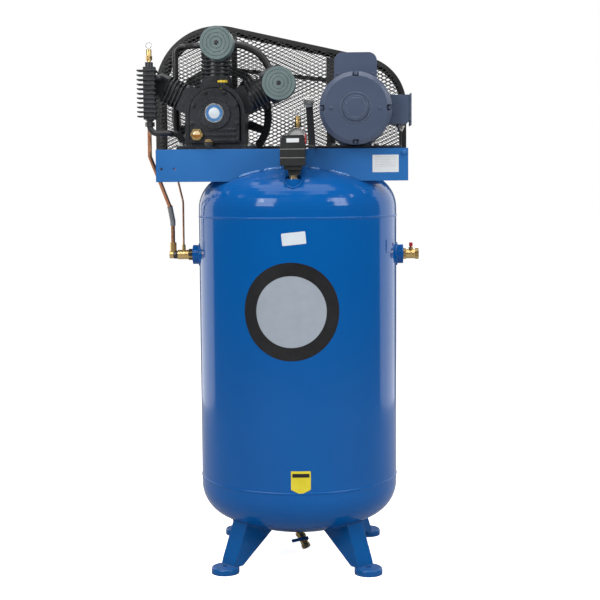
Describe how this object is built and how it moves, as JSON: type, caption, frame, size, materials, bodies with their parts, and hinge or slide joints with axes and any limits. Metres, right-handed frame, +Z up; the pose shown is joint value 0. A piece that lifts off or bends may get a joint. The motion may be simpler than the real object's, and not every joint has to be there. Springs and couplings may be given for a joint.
{
  "type": "vertical tank compressor",
  "caption": "Upright air receiver on pressed legs carrying a two stage piston pump, motor and belt guard on a deck, with valves, gauge and pressure switch.",
  "frame": {"origin": "on the floor, at the centre of the four anchor holes, under the tank's axis", "axes": "+Z up along the tank's axis, -Y towards the front (pump covers, pressure switch), +X towards the motor and the outlet valve"},
  "size_m": [0.844, 0.614, 1.6579],
  "materials": {
    "tank_paint": "glossy blue enamel",
    "deck_paint": "glossy blue enamel, a little lighter",
    "pump_black": "satin black paint over sand cast iron",
    "black_steel": "black powder coat",
    "motor_paint": "slate blue enamel",
    "filter_paint": "grey green paint",
    "zinc": "zinc plated",
    "machined": "machined steel",
    "piston_metal": "cast and turned aluminium",
    "winding": "laminated steel and varnished copper",
    "brass": "plain brass",
    "copper": "bare copper tube",
    "rubber": "matt rubber",
    "switch_plastic": "moulded plastic",
    "red_plastic": "dipped plastic",
    "yellow_plastic": "moulded plastic",
    "blue_plastic": "dipped plastic",
    "needle_black": "black enamel",
    "gauge_metal": "plated case"
  },
  "bodies": {
    "frame": {"tank_shell": "tank_paint", "tank_head_top": "tank_paint", "tank_head_bottom": "tank_paint", "weld_seams": "tank_paint", "leg_front_left": "tank_paint", "leg_front_right": "tank_paint", "leg_rear_left": "tank_paint", "leg_rear_right": "tank_paint", "tank_bungs": "tank_paint", "platform": "deck_paint", "deck_bolts": "zinc", "crankcase": "pump_black", "crankcase_cover": "pump_black", "sight_glass": "brass", "oil_drain": "brass", "cylinder_centre": "pump_black", "cylinder_left": "pump_black", "cylinder_right": "pump_black", "head_centre": "pump_black", "head_left": "pump_black", "head_right": "pump_black", "intake_filters": "filter_paint", "air_pipes": "black_steel", "intercooler": "pump_black", "relief_valves": "brass", "main_bearings": "machined", "connecting_rods": "machined", "drive_belts": "rubber", "motor_shell": "motor_paint", "motor_end_bells": "motor_paint", "motor_stator": "winding", "capacitor_cover": "motor_paint", "terminal_box": "motor_paint", "motor_cable": "rubber", "guard_rim": "black_steel", "guard_panels": "black_steel", "guard_bracket": "black_steel", "switch_base": "switch_plastic", "switch_cap": "switch_plastic", "pressure_gauge": "gauge_metal", "check_valve": "brass", "copper_tubes": "copper", "outlet_valve": "brass", "drain_valve": "brass"},
    "crank": {"crankshaft": "machined", "flywheel": "pump_black"},
    "motor_rotor_body": {"motor_rotor": "machined", "motor_pulley": "pump_black"},
    "outlet_handle_body": {"outlet_handle": "red_plastic"},
    "drain_handle_body": {"drain_handle": "blue_plastic"},
    "switch_lever_body": {"switch_lever": "red_plastic"},
    "needle_body": {"gauge_needle": "needle_black"},
    "tank_relief_ring": {"safety_ring": "zinc"},
    "cooler_relief_ring": {"interstage_ring": "zinc"},
    "check_disc_body": {"check_disc": "machined"},
    "oil_cap_body": {"oil_cap": "yellow_plastic"},
    "piston_centre_body": {"piston_centre": "piston_metal"},
    "piston_left_body": {"piston_left": "piston_metal"},
    "piston_right_body": {"piston_right": "piston_metal"}
  },
  "joints": [
    {"name": "crank_spin", "type": "hinge", "parent": "frame", "child": "crank", "pos_m": [-0.243, 0.1, 1.377], "axis": [0, 1, 0], "continuous": true},
    {"name": "motor_spin", "type": "hinge", "parent": "frame", "child": "motor_rotor_body", "pos_m": [0.181, 0.1, 1.382], "axis": [0, 1, 0], "continuous": true},
    {"name": "outlet_turn", "type": "hinge", "parent": "frame", "child": "outlet_handle_body", "pos_m": [0.35, 0, 0.946], "axis": [0, 0, 1], "range_deg": [0, 90]},
    {"name": "drain_turn", "type": "hinge", "parent": "frame", "child": "drain_handle_body", "pos_m": [0.01309, -0.01583, 0.04115], "axis": [0.4924, -0.5868, 0.6428], "range_deg": [0, 90]},
    {"name": "switch_lever_turn", "type": "hinge", "parent": "frame", "child": "switch_lever_body", "pos_m": [0.037, -0.285, 1.285], "axis": [1, 0, 0], "range_deg": [-50, 0]},
    {"name": "needle_turn", "type": "hinge", "parent": "frame", "child": "needle_body", "pos_m": [0.008, -0.206, 1.297], "axis": [0, 1, 0], "range_deg": [0, 270]},
    {"name": "tank_relief_pull", "type": "slide", "parent": "frame", "child": "tank_relief_ring", "axis": [0, 0, 1], "range_m": [0, 0.004], "stiffness_N_per_m": 400},
    {"name": "cooler_relief_pull", "type": "slide", "parent": "frame", "child": "cooler_relief_ring", "axis": [0, 0, 1], "range_m": [0, 0.004], "stiffness_N_per_m": 400},
    {"name": "check_disc_lift", "type": "slide", "parent": "frame", "child": "check_disc_body", "axis": [1, 0, 0], "range_m": [0, 0.012], "stiffness_N_per_m": 60},
    {"name": "oil_cap_lift", "type": "slide", "parent": "frame", "child": "oil_cap_body", "axis": [0, 0, 1], "range_m": [0, 0.02]},
    {"name": "piston_centre_stroke", "type": "slide", "parent": "frame", "child": "piston_centre_body", "axis": [0, 0, 1], "range_m": [-0.05, 0], "deforming": ["connecting_rods"]},
    {"name": "piston_left_stroke", "type": "slide", "parent": "frame", "child": "piston_left_body", "axis": [-0.891, 0, 0.454], "range_m": [-0.03407, 0.01593]},
    {"name": "piston_right_stroke", "type": "slide", "parent": "frame", "child": "piston_right_body", "axis": [0.891, 0, 0.454], "range_m": [-0.03407, 0.01593]}
  ],
  "couplings": [
    {"joint": "motor_spin", "follows": "crank_spin", "ratio": 1.5759}
  ]
}
